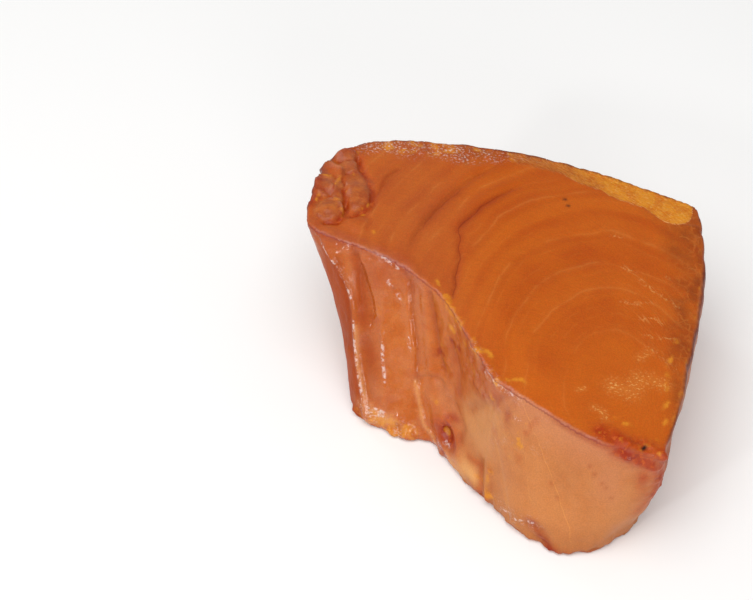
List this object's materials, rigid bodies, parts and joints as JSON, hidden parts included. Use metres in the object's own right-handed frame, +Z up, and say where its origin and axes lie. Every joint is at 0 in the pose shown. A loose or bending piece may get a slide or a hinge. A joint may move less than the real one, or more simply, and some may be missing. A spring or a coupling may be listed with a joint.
{
  "type": "smoked marlin piece",
  "caption": "Thick chunk of smoked marlin with a flat knife-cut top, a folded moist side and torn lower edges, resting on its flat underside.",
  "frame": {"origin": "centre of the piece's box on the plane that it rests on", "axes": "+X to the right seen from the folded front, +Y away from the front, +Z up through the cut top"},
  "size_m": [0.1622, 0.1637, 0.0754],
  "materials": {
    "smoked_flesh": "moist, slightly oily smoked fish, amber orange with paler cut faces and a darker dried rim"
  },
  "bodies": {
    "root": {"marlin_piece": "smoked_flesh"}
  },
  "joints": []
}
